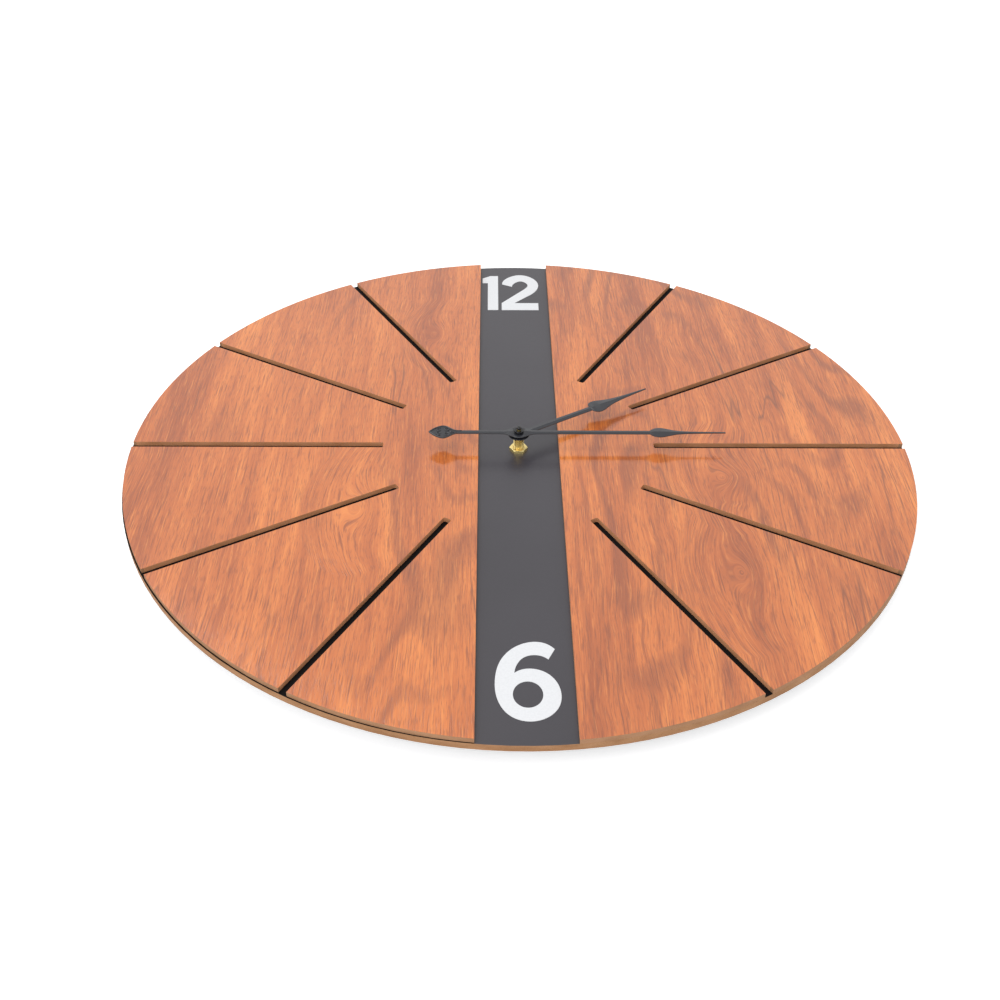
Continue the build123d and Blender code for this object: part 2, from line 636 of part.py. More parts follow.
def make_rotor():
    low, high = levels(ROTOR_WHEEL_Z, PINION_OVERHANG)
    magnet_low = STATOR_Z - MAGNET_DROP
    magnet_high = STATOR_Z + STATOR_T + MAGNET_DROP
    shoulder_z = magnet_low - PINION_OVERHANG
    pinion = pinion_of(ROTOR_MESH, ROTOR_DIR + 180, low, high, ROTOR)
    pinion += rod(MAGNET_BORE_R + HOLE_GAP, high, shoulder_z, ROTOR)
    pinion += rod(MAGNET_BORE_R, shoulder_z, magnet_high + HOLE_GAP, ROTOR)
    pinion += rod(PIVOT_R, PIVOT_LOW_Z, PIVOT_HIGH_Z, ROTOR)
    save("rotor_pinion", pinion)
    save("rotor_magnet", ring(MAGNET_R, MAGNET_BORE_R, magnet_low, magnet_high, ROTOR))


def make_intermediate():
    low, high = levels(ROTOR_WHEEL_Z)
    wheel = wheel_of(ROTOR_MESH, ROTOR_DIR, low, high, INTERMEDIATE)
    wheel -= windows(4, 3.2, 0.9, low, high, INTERMEDIATE)
    pinion_low, pinion_high = levels(SECONDS_WHEEL_Z, PINION_OVERHANG)
    wheel += rod(3 * PIVOT_R, ROTOR_WHEEL_Z, pinion_low, INTERMEDIATE)
    wheel += pinion_of(SECONDS_MESH, INTERMEDIATE_DIR + 180, pinion_low, pinion_high, INTERMEDIATE)
    wheel += rod(2 * PIVOT_R, pinion_high, PLATE_Z - 2 * HOLE_GAP, INTERMEDIATE)
    wheel += rod(PIVOT_R, PIVOT_LOW_Z, PIVOT_HIGH_Z, INTERMEDIATE)
    save("intermediate_wheel", wheel)


def make_seconds():
    low, high = levels(SECONDS_WHEEL_Z)
    wheel = wheel_of(SECONDS_MESH, INTERMEDIATE_DIR, low, high, ARBOR)
    wheel -= windows(4, 4.4, 1.5, low, high, ARBOR)
    pinion_low, pinion_high = levels(THIRD_WHEEL_Z, PINION_OVERHANG)
    wheel += rod(2 * SECONDS_ARBOR_R, low - SECONDS_ARBOR_R, pinion_low)
    wheel += pinion_of(THIRD_MESH, THIRD_DIR, pinion_low, pinion_high, ARBOR)
    wheel += rod(SECONDS_ARBOR_R, PIVOT_LOW_Z, CAP_Z + CAP_SOCKET - HOLE_GAP)
    save("seconds_wheel", wheel)


def make_third():
    low, high = levels(THIRD_WHEEL_Z)
    wheel = wheel_of(THIRD_MESH, THIRD_DIR + 180, low, high, THIRD)
    wheel -= windows(4, 5.0, 1.8, low, high, THIRD)
    pinion_low, pinion_high = levels(CENTRE_WHEEL_Z, PINION_OVERHANG)
    wheel += rod(1.1, THIRD_WHEEL_Z, pinion_low, THIRD)
    wheel += pinion_of(CENTRE_MESH, THIRD_DIR + 180, pinion_low, pinion_high, THIRD)
    wheel += rod(PIVOT_R, PIVOT_LOW_Z, FRONT_Z + 2 * HOLE_GAP, THIRD)
    save("third_wheel", wheel)


def make_centre():
    low, high = levels(CENTRE_WHEEL_Z)
    wheel = wheel_of(CENTRE_MESH, THIRD_DIR, low, high, ARBOR)
    wheel -= windows(5, 5.2, 1.8, low, high, ARBOR)
    boss_low, boss_high = levels(CENTRE_WHEEL_Z, PINION_OVERHANG)
    wheel += rod(2.7, boss_low, boss_high)
    wheel -= hole(MINUTE_ARBOR_R + FIT, boss_low, boss_high)
    save("centre_wheel", wheel)


def make_minute_arbor():
    low, high = levels(MOTION_WHEEL_Z, MOTION_OVERHANG)
    foot_z = PLATE_Z + PLATE_T + 2 * HOLE_GAP
    arbor = rod(MINUTE_ARBOR_R, foot_z, MINUTE_TOP)
    arbor += pinion_of(MOTION_MESH, MOTION_DIR, low, high, ARBOR)
    arbor -= hole(MINUTE_BORE_R, foot_z, MINUTE_TOP)
    save("minute_arbor", arbor)


def make_motion_work():
    low, high = levels(MOTION_WHEEL_Z)
    wheel = wheel_of(MOTION_MESH, MOTION_DIR + 180, low, high, MOTION)
    pinion_low, pinion_high = levels(HOUR_WHEEL_Z, MOTION_OVERHANG)
    wheel += rod(1.3, high, pinion_low, MOTION)
    wheel += pinion_of(HOUR_MESH, MOTION_DIR + 180, pinion_low, pinion_high, MOTION)
    wheel -= hole(STUD_R + RUNNING, low, pinion_high, MOTION)
    save("motion_wheel", wheel)

    low, high = levels(HOUR_WHEEL_Z)
    hour = wheel_of(HOUR_MESH, MOTION_DIR, low, high, ARBOR)
    hour += rod(HOUR_TUBE_R, low, HOUR_TUBE_TOP)
    hour -= hole(HOUR_TUBE_BORE_R, low, HOUR_TUBE_TOP)
    save("hour_wheel", hour)


def make_knob():
    """The setting knob's pinion meets the motion wheel wherever that wheel's teeth lie."""
    wheel_pitch = 360.0 / MOTION_MESH["wheel"]
    wheel_phase = MOTION_DIR + 180 + wheel_pitch / 2
    lead = (KNOB_DIR - wheel_phase) % wheel_pitch
    knob_pitch = 360.0 / KNOB_TEETH
    phase = KNOB_DIR + 180 + lead * MOTION_MESH["wheel"] / KNOB_TEETH + knob_pitch / 2
    low, high = levels(MOTION_WHEEL_Z, MOTION_OVERHANG)
    knob = gear(KNOB_TEETH, MOTION_MESH["module"], MOTION_MESH["shift"], phase, low, high, KNOB)
    knob += rod(KNOB_SHAFT_R, KNOB_GRIP_Z[0], FRONT_Z + KNOB_SHAFT_DEPTH, KNOB)
    grip = rod(KNOB_R, *KNOB_GRIP_Z, KNOB)
    for index in range(KNOB_FLUTES):
        flute = polar(KNOB, KNOB_R + HOLE_GAP, index * 360 / KNOB_FLUTES)
        grip -= hole(KNOB_FLUTE_R, *KNOB_GRIP_Z, flute)
    save("setting_knob", knob + grip)


# ---- seals and hanger ----------------------------------------------------------------------------
def make_hanger():
    """A steel strap clamped under the dial, cranked back to the wall plane."""
    half = STRAP_W / 2
    bend_end = STRAP_BEND_Y + STRAP_T
    eye = (0, HANGER_EYE_Y)
    eye_top = STRAP_EYE_Z + STRAP_T
    strap = block(-half, half, STRAP_TAIL_Y, bend_end, CASE_Z, CASE_Z + STRAP_T)
    strap += block(-half, half, STRAP_BEND_Y, bend_end, STRAP_EYE_Z, CASE_Z)
    strap += block(-half, half, STRAP_BEND_Y, HANGER_EYE_Y, STRAP_EYE_Z, eye_top)
    strap += rod(half, STRAP_EYE_Z, eye_top, eye)
    strap -= hole(HANGER_EYE_R, STRAP_EYE_Z, eye_top, eye)
    strap -= hole(BUSH_R + HOLE_GAP, CASE_Z, CASE_Z + STRAP_T)
    save("hanger_strap", strap)


def make_gasket():
    gasket = ring(GASKET_R, BUSH_R + HOLE_GAP, CASE_Z + STRAP_T, BOARD_Z)
    save("rubber_gasket", gasket)


def main():
    os.makedirs("parts", exist_ok=True)
    make_dial()
    make_numerals()
    make_hands()
    make_hand_fittings()
    make_bushing()
    make_case()
    make_cover()
    make_plate()
    make_stator()
    make_coil()
    make_circuit()
    make_contacts()
    make_battery()
    make_rotor()
    make_intermediate()
    make_seconds()
    make_third()
    make_centre()
    make_minute_arbor()
    make_motion_work()
    make_knob()
    make_hanger()
    make_gasket()


main()
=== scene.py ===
"""Looks of the round wall clock: wood-laminate panels, black board, hands and movement.

Lengths are in metres, as in the frame; MM turns millimetres into metres.
"""

import json
import math

import bmesh
import bpy
from mathutils import Matrix, Vector


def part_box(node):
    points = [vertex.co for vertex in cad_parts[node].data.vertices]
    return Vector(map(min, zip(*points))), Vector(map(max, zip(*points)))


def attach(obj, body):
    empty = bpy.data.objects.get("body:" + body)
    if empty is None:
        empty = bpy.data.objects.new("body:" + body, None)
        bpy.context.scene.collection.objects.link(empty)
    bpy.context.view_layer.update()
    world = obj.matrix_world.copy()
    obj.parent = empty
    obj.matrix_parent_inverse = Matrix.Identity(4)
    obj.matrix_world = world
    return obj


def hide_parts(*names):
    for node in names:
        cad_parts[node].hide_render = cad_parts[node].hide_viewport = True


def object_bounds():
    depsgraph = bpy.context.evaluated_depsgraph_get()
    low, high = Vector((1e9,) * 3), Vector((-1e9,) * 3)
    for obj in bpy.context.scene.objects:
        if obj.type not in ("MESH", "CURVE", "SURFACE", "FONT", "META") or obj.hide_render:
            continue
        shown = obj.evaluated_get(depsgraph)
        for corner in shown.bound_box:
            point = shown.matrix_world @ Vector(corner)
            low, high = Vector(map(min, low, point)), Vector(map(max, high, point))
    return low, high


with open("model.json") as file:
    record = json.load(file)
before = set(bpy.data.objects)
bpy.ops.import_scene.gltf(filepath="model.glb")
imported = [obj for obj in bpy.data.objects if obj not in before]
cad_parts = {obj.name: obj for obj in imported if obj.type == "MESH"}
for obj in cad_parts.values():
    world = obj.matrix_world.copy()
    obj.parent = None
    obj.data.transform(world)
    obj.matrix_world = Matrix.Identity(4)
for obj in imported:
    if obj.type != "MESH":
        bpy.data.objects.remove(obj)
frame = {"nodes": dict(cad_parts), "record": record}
CAD_LOW, CAD_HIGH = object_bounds()
NODES = frame["nodes"]
MM = 0.001
DIAL_R = (CAD_HIGH.x - CAD_LOW.x) / 2
BOARD_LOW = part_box("back_board")[0]
PANEL_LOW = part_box("right_panel")[0]


# ---- node helpers -----------------------------------------------------------
FLAT_FROM = 0.6                 # the least part along Z of a flat face's normal


class Material:
    """A node material built around one Principled shader."""

    def __init__(self, name, roughness=0.5, metallic=0.0, coat=0.0, coat_roughness=0.1):
        self.material = bpy.data.materials.new(name)
        self.material.use_nodes = True
        self.tree = self.material.node_tree
        self.shader = self.tree.nodes["Principled BSDF"]
        self.set("Roughness", roughness)
        self.set("Metallic", metallic)
        self.set("Coat Weight", coat)
        self.set("Coat Roughness", coat_roughness)
        self.set("IOR", 1.5)

    def set(self, socket, value):
        """Feed a socket of the Principled shader."""
        self.feed(self.shader.inputs[socket], value)

    def node(self, kind, inputs=None, **settings):
        """A new node with its inputs fed and its settings made."""
        made = self.tree.nodes.new(kind)
        for key, value in settings.items():
            setattr(made, key, value)
        for key, value in (inputs or {}).items():
            self.feed(made.inputs[key], value)
        return made

    def feed(self, socket, value):
        """Link another node's output to the socket, or set the socket to a constant."""
        if isinstance(value, bpy.types.NodeSocket):
            self.tree.links.new(value, socket)
        elif hasattr(value, "__len__") and len(value) == 3 and socket.type == "RGBA":
            socket.default_value = (*value, 1.0)
        else:
            socket.default_value = value

    def position(self):
        """Object coordinates in metres."""
        return self.node("ShaderNodeTexCoord").outputs["Object"]

    def axes(self):
        """The X, Y and Z of the object coordinates."""
        return self.node("ShaderNodeSeparateXYZ", {"Vector": self.position()}).outputs

    def place(self, scale=(1, 1, 1), offset=(0, 0, 0)):
        """Object coordinates scaled and moved."""
        mapping = self.node("ShaderNodeMapping", {"Vector": self.position(), "Scale": scale,
                                                  "Location": offset})
        return mapping.outputs["Vector"]

    def noise(self, vector, scale, detail=3.0, roughness=0.5):
        """Soft noise from 0 to 1 with the given number of features per unit."""
        made = self.node("ShaderNodeTexNoise", {"Vector": vector, "Scale": scale, "Detail": detail,
                                                "Roughness": roughness, "Distortion": 0.0})
        return made.outputs["Fac"]

    def math(self, operation, a, b=0.0, c=0.0):
        made = self.node("ShaderNodeMath", operation=operation)
        for socket, value in zip(made.inputs, (a, b, c)):
            self.feed(socket, value)
        return made.outputs[0]

    def ramp(self, factor, stops, interpolation="LINEAR"):
        """Values or colours at the given positions."""
        made = self.node("ShaderNodeValToRGB", {"Fac": factor})
        made.color_ramp.interpolation = interpolation
        points = made.color_ramp.elements
        while len(points) < len(stops):
            points.new(0.5)
        for point, (position, colour) in zip(points, stops):
            point.position = position
            value = colour if hasattr(colour, "__len__") else (colour,) * 3
            point.color = (*value, 1.0)
        return made.outputs["Color"]

    def mix(self, factor, a, b):
        """Colour a where the factor is 0, b where it is 1."""
        made = self.node("ShaderNodeMix", data_type="RGBA")
        self.feed(made.inputs["Factor"], factor)
        self.feed(made.inputs["A"], a)
        self.feed(made.inputs["B"], b)
        return made.outputs["Result"]

    def bump(self, height, distance, strength=1.0, socket="Normal"):
        """Relief of the given depth in metres on the base or on the coat."""
        made = self.node("ShaderNodeBump", {"Height": height, "Distance": distance,
                                            "Strength": strength})
        self.set(socket, made.outputs["Normal"])

    def facing_up(self):
        """1 on faces that look along +Z or -Z, 0 on the cut edges."""
        normal = self.node("ShaderNodeNewGeometry").outputs["True Normal"]
        z = self.node("ShaderNodeSeparateXYZ", {"Vector": normal}).outputs["Z"]
        return self.math("GREATER_THAN", self.math("ABSOLUTE", z), FLAT_FROM)


# ---- materials ----------------------------------------------------------------
# Colours are linear RGB; a three-colour set runs from dark to light.
PANEL_EDGE = ((0.354, 0.162, 0.076), (0.508, 0.242, 0.119), (0.616, 0.317, 0.172))
BOARD_EDGE = ((0.200, 0.096, 0.043), (0.296, 0.153, 0.074), (0.368, 0.206, 0.112))
# Painted shade: this colour darkens the panel's cut edge near the rim.
RIM_PAINTED_SHADE = (0.10, 0.085, 0.060)
RIM_DEPTH = 3 * MM              # the panel edge within this of the rim is darkened with painted shade
WOOD_TONES = [(0.38, (0.390, 0.094, 0.023)), (0.46, (0.530, 0.138, 0.031)),
              (0.54, (0.630, 0.176, 0.038)), (0.62, (0.780, 0.246, 0.054))]
WOOD_RING = (0.270, 0.068, 0.024)
WOOD_FLECK = (0.880, 0.310, 0.072)
WOOD_GRAIN = (0.225, 0.058, 0.022)
WOOD_VEIN = (0.200, 0.060, 0.026)
WOOD_COAT_IOR = 1.72
RINGS_PER_FIGURE = 96.0
EYE_STRETCH = 0.55              # an eye's rings are longer along the grain by 1 / this
BOARD_BLACKS = ((0.026, 0.0225, 0.030), (0.034, 0.030, 0.039))
# Painted shade: a near-black for the board's front under the panels, seen at the slot floors.
COVERED_PAINTED_SHADE = (0.006, 0.005, 0.005)
FRONT_FROM = 2 * MM             # faces this far above the board's back are on its front
BOARD_COAT_IOR = 1.62
HAND_BLACKS = ((0.012, 0.013, 0.018), (0.018, 0.019, 0.025))
# Painted highlight: a lighter grey for light caught along the hands' cut edges.
HAND_EDGE_HIGHLIGHT = (0.045, 0.043, 0.045)
VINYL_WHITES = ((0.675, 0.685, 0.705), (0.72, 0.73, 0.75))
WIRE_GAP = (0.16, 0.045, 0.015)
WIRE_COPPER = (0.62, 0.22, 0.08)
MASK_GREENS = ((0.010, 0.085, 0.035), (0.012, 0.105, 0.045))
TRACK_GREEN = (0.05, 0.20, 0.08)
CELL_STEEL = (0.62, 0.62, 0.60)
CELL_BODY = (0.030, 0.034, 0.045)
CELL_BAND = (0.55, 0.27, 0.08)
CELL_SCUFF = (0.5, 0.5, 0.5)
CELL_ENDS = (0.015, 0.955)      # the jacket runs between these shares of the cell's length
CELL_BAND_FROM = 0.72           # and its band starts at this one


def fibreboard(m, colours):
    """The colour of a cut MDF edge, and the speckle that roughens it."""
    speck = m.noise(m.place((1, 1, 2.4)), 1500, 4, 0.65)
    cloud = m.noise(m.place((1, 1, 3)), 60, 2)
    dark, mid, light = colours
    base = m.ramp(m.math("ADD", m.math("MULTIPLY", speck, 0.6), m.math("MULTIPLY", cloud, 0.4)),
                  [(0.32, dark), (0.5, mid), (0.68, light)])
    return base, speck


def wood_laminate(name, offset, eyes):
    """Printed and embossed wood grain along Y under a semi-gloss coat.

    Each eye is (x, y, reach) in mm: the grain swirls round it out to its reach.
    """
    m = Material(name, roughness=0.5, coat=1.0, coat_roughness=0.12)
    m.set("Specular IOR Level", 0.1)
    m.set("Coat IOR", WOOD_COAT_IOR)
    axes = m.axes()

    def wander(scale, seed, amount):
        """A soft shift of up to half the amount either way."""
        place = m.place(scale, (offset[0] + seed, offset[1], offset[2]))
        return m.math("MULTIPLY", m.math("SUBTRACT", m.noise(place, 1.0, 2, 0.5), 0.5), amount)

    # The grain's coordinates: a slow drift, some curly patches and the eyes.
    curl = m.ramp(m.noise(m.place((9, 5.5, 1), offset), 1.0, 1, 0.5), [(0.52, 0.0), (0.74, 1.0)])
    shift_x = m.math("MULTIPLY_ADD", curl, wander((15, 9, 1), 2.7, 0.024),
                     wander((3.4, 1.1, 1), 0.0, 0.060))
    shift_y = m.math("MULTIPLY", curl, wander((13, 11, 1), 8.3, 0.030))
    bent_x = m.math("ADD", axes["X"], shift_x)
    bent_y = m.math("ADD", axes["Y"], shift_y)
    for x, y, reach in eyes:
        side = m.math("SUBTRACT", bent_x, x * MM)
        along = m.math("MULTIPLY", m.math("SUBTRACT", bent_y, y * MM), EYE_STRETCH)
        along_squared = m.math("MULTIPLY", along, along)
        away = m.math("SQRT", m.math("MULTIPLY_ADD", side, side, along_squared))
        pull = m.ramp(m.math("DIVIDE", away, reach * MM), [(0.15, 0.70), (1.0, 0.0)])
        bent_x = m.math("MULTIPLY_ADD", pull, m.math("SUBTRACT", away, side), bent_x)
    bent = m.node("ShaderNodeCombineXYZ", {"X": bent_x, "Y": bent_y,
                                           "Z": offset[2]}).outputs["Vector"]

    def along_grain(x_scale, y_scale, seed, detail=2.0, roughness=0.5):
        """Noise with the given number of features per metre across and along the grain."""
        vector = m.node("ShaderNodeMapping", {"Vector": bent, "Scale": (x_scale, y_scale, 1),
                                              "Location": (offset[0] + seed, offset[1], seed)})
        return m.noise(vector.outputs["Vector"], 1.0, detail, roughness)

    # Broad bands, streaks and fibres give the base tone.
    broad = along_grain(24, 3.0, 7.7, 2, 0.5)
    streak = along_grain(95, 5.2, 1.3, 4, 0.62)
    fibre = along_grain(700, 19, 5.9, 2, 0.6)
    tone = m.math("MULTIPLY", broad, 0.46)
    tone = m.math("MULTIPLY_ADD", streak, 0.35, tone)
    tone = m.math("MULTIPLY_ADD", fibre, 0.19, tone)
    wood = m.ramp(tone, WOOD_TONES)

    # Growth rings are the contours of a slow noise, shown in patches.
    figure = along_grain(7.5, 2.1, 3.1, 2, 0.42)
    wave = m.math("SINE", m.math("MULTIPLY", figure, RINGS_PER_FIGURE))
    rings = m.math("MULTIPLY_ADD", wave, 0.5, 0.5)
    presence = m.ramp(along_grain(13, 4.5, 6.6), [(0.45, 0.0), (0.62, 0.66)])
    ring_line = m.math("MULTIPLY", m.ramp(rings, [(0.62, 0.0), (0.98, 1.0)]), presence)
    wood = m.mix(ring_line, wood, WOOD_RING)

    # Light flecks, dark pores and hairlines.
    fleck = m.ramp(along_grain(780, 34, 4.4, 2, 0.6), [(0.55, 0.0), (0.70, 0.40)])
    wood = m.mix(fleck, wood, WOOD_FLECK)
    pore = m.ramp(along_grain(1050, 36, 9.2, 2, 0.6), [(0.55, 0.0), (0.67, 0.66)])
    hair = m.ramp(along_grain(1500, 110, 2.2, 1), [(0.55, 0.0), (0.70, 0.45)])
    grain = m.math("MAXIMUM", pore, hair)
    wood = m.mix(grain, wood, WOOD_GRAIN)

    # A few dark veins, shown in patches.
    contour = m.math("ABSOLUTE", m.math("SUBTRACT", along_grain(34, 2.6, 12.4), 0.5))
    vein = m.ramp(contour, [(0.0, 0.75), (0.010, 0.0)])
    patch = m.ramp(along_grain(11, 7, 15.1), [(0.53, 0.0), (0.62, 1.0)])
    wood = m.mix(m.math("MULTIPLY", vein, patch), wood, WOOD_VEIN)

    # Wood and coat on the faces, bare fibreboard on the cut edges, darkened near the rim by painted
    # shade.
    edge, speck = fibreboard(m, PANEL_EDGE)
    radius = m.node("ShaderNodeVectorMath", {"Vector": m.place((1, 1, 0))},
                    operation="LENGTH").outputs["Value"]
    outer = m.math("GREATER_THAN", radius, DIAL_R - RIM_DEPTH)
    edge = m.mix(outer, edge, m.mix(0.5, edge, RIM_PAINTED_SHADE))
    face = m.facing_up()
    m.set("Base Color", m.mix(face, edge, wood))
    m.set("Roughness", m.math("MULTIPLY_ADD", face, -0.40, 0.90))
    m.set("Coat Weight", face)
    m.bump(m.mix(face, speck, m.math("SUBTRACT", fleck, grain)), 0.14 * MM)
    m.bump(m.math("MULTIPLY", grain, face), -0.05 * MM, socket="Coat Normal")
    return m.material


def black_board():
    """Black paint, glossier on the bare strip; painted shade makes it blacker under the panels and on
    the slot floors; a bare cut edge.
    """
    m = Material("black_board", roughness=0.62, coat_roughness=0.31)
    m.set("Specular IOR Level", 0.08)
    m.set("Coat IOR", BOARD_COAT_IOR)
    edge, speck = fibreboard(m, BOARD_EDGE)
    grain = m.noise(m.place(), 420, 3, 0.6)
    cloud = m.noise(m.place(), 9, 2)
    black = m.mix(m.ramp(cloud, [(0.3, 0.0), (0.7, 1.0)]), *BOARD_BLACKS)
    axes = m.axes()
    front = m.math("GREATER_THAN", axes["Z"], BOARD_LOW.z + FRONT_FROM)
    strip = m.math("LESS_THAN", m.math("ABSOLUTE", axes["X"]), PANEL_LOW.x)
    bare = m.math("MULTIPLY", front, strip)
    face = m.facing_up()
    # Painted shade: the front outside the bare strip, which shows at the slot floors, gets a
    # near-black colour.
    paint_colour = m.mix(m.math("SUBTRACT", front, bare), black, COVERED_PAINTED_SHADE)
    m.set("Base Color", m.mix(face, edge, paint_colour))
    m.set("Coat Weight", m.math("MULTIPLY", face, bare))
    m.set("Roughness", m.math("MULTIPLY_ADD", grain, 0.2, 0.55))
    m.bump(m.mix(face, speck, m.math("MULTIPLY", grain, 0.25)), 0.08 * MM)
    m.bump(m.math("MULTIPLY", grain, face), 0.03 * MM, socket="Coat Normal")
    return m.material


def vinyl_white():
    """Cut white vinyl film."""
    m = Material("white_vinyl", roughness=0.45)
    grain = m.noise(m.place(), 700, 2)
    m.set("Base Color", m.ramp(grain, [(0.3, VINYL_WHITES[0]), (0.7, VINYL_WHITES[1])]))
    m.bump(grain, 0.02 * MM)
    return m.material


def hand_paint():
    """Satin black paint on the hands, with a painted highlight in lighter grey on their cut edges."""
    m = Material("black_hand", roughness=0.38, coat=0.35, coat_roughness=0.22)
    m.set("Specular IOR Level", 0.42)
    grain = m.noise(m.place(), 1700, 3, 0.55)
    black = m.ramp(grain, [(0.3, HAND_BLACKS[0]), (0.75, HAND_BLACKS[1])])
    edge_highlight = m.math("SUBTRACT", 1.0, m.facing_up())
    # Painted highlight: the cut edges are coloured lighter than the faces.
    m.set("Base Color", m.mix(edge_highlight, black, HAND_EDGE_HIGHLIGHT))
    m.set("Roughness", m.math("MULTIPLY_ADD", grain, 0.12, 0.32))
    m.bump(grain, 0.02 * MM)
    return m.material


def metal(name, colour, roughness=0.2, lines=(60, 60, 3000), wear=0.2):
    """Metal with fine tool marks, whose noise has the given number of lines along X, Y and Z."""
    m = Material(name, roughness=roughness, metallic=1.0)
    marks = m.noise(m.place(lines), 1.0, 3, 0.6)
    stain = m.noise(m.place(), 260, 3, 0.6)
    darker = tuple(c * (1 - wear) for c in colour)
    m.set("Base Color", m.ramp(stain, [(0.35, darker), (0.6, colour)]))
    m.set("Roughness", m.math("MULTIPLY_ADD", marks, 0.16, roughness - 0.05))
    m.bump(marks, 0.02 * MM, 0.6)
    return m.material


def moulded(name, colour, roughness=0.5, grain=1800.0, depth=0.03 * MM):
    """Moulded plastic with a fine spark-eroded grain."""
    m = Material(name, roughness=roughness)
    fine = m.noise(m.place(), grain, 3, 0.6)
    cloud = m.noise(m.place(), 40, 2)
    lighter = tuple(min(1.0, c * 1.22 + 0.004) for c in colour)
    m.set("Base Color", m.ramp(cloud, [(0.3, colour), (0.7, lighter)]))
    m.set("Roughness", m.math("MULTIPLY_ADD", fine, 0.18, roughness - 0.09))
    m.bump(fine, depth)
    return m.material


def copper_winding():
    """Enamelled wire: fine turns across X with slight unevenness."""
    m = Material("copper_winding", roughness=0.3, coat=0.6, coat_roughness=0.2)
    wave = m.node("ShaderNodeTexWave", {"Vector": m.place(), "Scale": 900.0, "Distortion": 1.2,
                                        "Detail": 1.0}, bands_direction="X")
    turns = wave.outputs["Fac"]
    m.set("Base Color", m.ramp(turns, [(0.1, WIRE_GAP), (0.8, WIRE_COPPER)]))
    m.set("Metallic", 0.7)
    m.bump(turns, 0.06 * MM)
    return m.material


def circuit_green():
    """Solder mask over straight tracks."""
    m = Material("green_board", roughness=0.35, coat=0.5, coat_roughness=0.15)
    brick = m.node("ShaderNodeTexBrick", {"Vector": m.place((320, 320, 320)), "Scale": 1.0,
                                          "Mortar Size": 0.08, "Color1": MASK_GREENS[0],
                                          "Color2": MASK_GREENS[1], "Mortar": TRACK_GREEN})
    m.set("Base Color", brick.outputs["Color"])
    m.bump(brick.outputs["Fac"], 0.03 * MM)
    return m.material


def cell_jacket():
    """A printed battery jacket: a dark body with a copper-coloured band and bare steel ends."""
    m = Material("cell_jacket", roughness=0.28, coat=0.8, coat_roughness=0.1)
    low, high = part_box("battery")
    share = m.math("DIVIDE", m.math("SUBTRACT", m.axes()["X"], low.x), high.x - low.x)
    scuff = m.noise(m.place(), 300, 3)
    first_end, last_end = CELL_ENDS
    jacket = m.ramp(share, [(0.0, CELL_STEEL), (first_end, CELL_BODY), (CELL_BAND_FROM, CELL_BAND),
                            (last_end, CELL_STEEL)], "CONSTANT")
    m.set("Base Color", m.mix(m.math("MULTIPLY", scuff, 0.12), jacket, CELL_SCUFF))
    steel = m.math("MAXIMUM", m.math("LESS_THAN", share, first_end),
                   m.math("GREATER_THAN", share, last_end))
    m.set("Metallic", steel)
    m.bump(scuff, 0.02 * MM)
    return m.material


LEFT_EYES = ((-122, -78, 42), (-70, 168, 34))
RIGHT_EYES = ((149, -38, 40), (146, -150, 44))
MATERIALS = {
    "wood_left": wood_laminate("wood_left", (4.3, 0.8, 1.9), LEFT_EYES),
    "wood_right": wood_laminate("wood_right", (9.1, 5.2, 6.4), RIGHT_EYES),
    "black_board": black_board(),
    "white_vinyl": vinyl_white(),
    "black_hand": hand_paint(),
    "brass": metal("brass", (1.0, 0.80, 0.34), 0.22, wear=0.08),
    "brass_nut": metal("brass_nut", (1.0, 0.82, 0.36), 0.40, wear=0.06),
    "black_gloss": moulded("black_gloss", (0.005, 0.005, 0.006), 0.20, depth=0.01 * MM),
    "black_plastic": moulded("black_plastic", (0.020, 0.020, 0.021)),
    "white_plastic": moulded("white_plastic", (0.78, 0.77, 0.72), 0.4, depth=0.01 * MM),
    "green_board": circuit_green(),
    "steel": metal("steel", (0.66, 0.66, 0.67), 0.28, (3000, 60, 60)),
    "iron_lamination": metal("iron_lamination", (0.40, 0.40, 0.41), 0.4, (40, 2600, 40)),
    "copper_winding": copper_winding(),
    "magnet": moulded("magnet", (0.075, 0.073, 0.075), 0.55, 900.0, 0.04 * MM),
    "rubber": moulded("rubber", (0.018, 0.018, 0.018), 0.8, 2400.0, 0.04 * MM),
    "nickel": metal("nickel", (0.77, 0.75, 0.70), 0.18, (50, 1800, 50)),
    "cell_jacket": cell_jacket(),
}


def paint(obj, key):
    """Give the object one material and no other."""
    obj.data.materials.clear()
    obj.data.materials.append(MATERIALS[key])


SLOT_OF = {row["node"]: row["material_slot"] for row in frame["record"]["subparts"]}
LOOK_OF = {"left_panel": "wood_left", "right_panel": "wood_right", "hand_nut": "black_gloss",
           "arbor_cap": "black_gloss"}
for node_name, node_object in NODES.items():
    paint(node_object, LOOK_OF.get(node_name, SLOT_OF[node_name]))


EDGE_ROUNDING = {"left_panel": 0.25 * MM, "right_panel": 0.25 * MM, "back_board": 0.3 * MM}
ROUNDED_FROM = math.radians(35)


def soften(node, width):
    """Break a CAD node's sharp edges with a small rounding."""
    modifier = NODES[node].modifiers.new("edge", "BEVEL")
    modifier.width = width
    modifier.segments = 2
    modifier.limit_method = "ANGLE"
    modifier.angle_limit = ROUNDED_FROM
    modifier.harden_normals = True


# ---- hands -------------------------------------------------------------------------
HAND_STEPS = 4
BLADE_STEPS = 8
TIP_HALF_W = 0.04 * MM
BEAD_R = 0.62 * MM
LEAF_CENTRE = -58.0 * MM
HUB_LIP_W = 0.9 * MM
RIDGE_SLOPE = 0.17
RIDGE_MAX = 0.9 * MM
WIRE_SIDES = 8
LATHE_STEPS = 96
SCROLL_STEPS = 22
SCROLL_HEIGHT = 1.1             # in bead radii
SCROLL_CLOSING = 0.68
SCROLL_THINNING = 0.25
CREASE = 25                     # faces that meet at more degrees than this stay sharp
HAND_CREASE = 14                # and on the hands at more than this


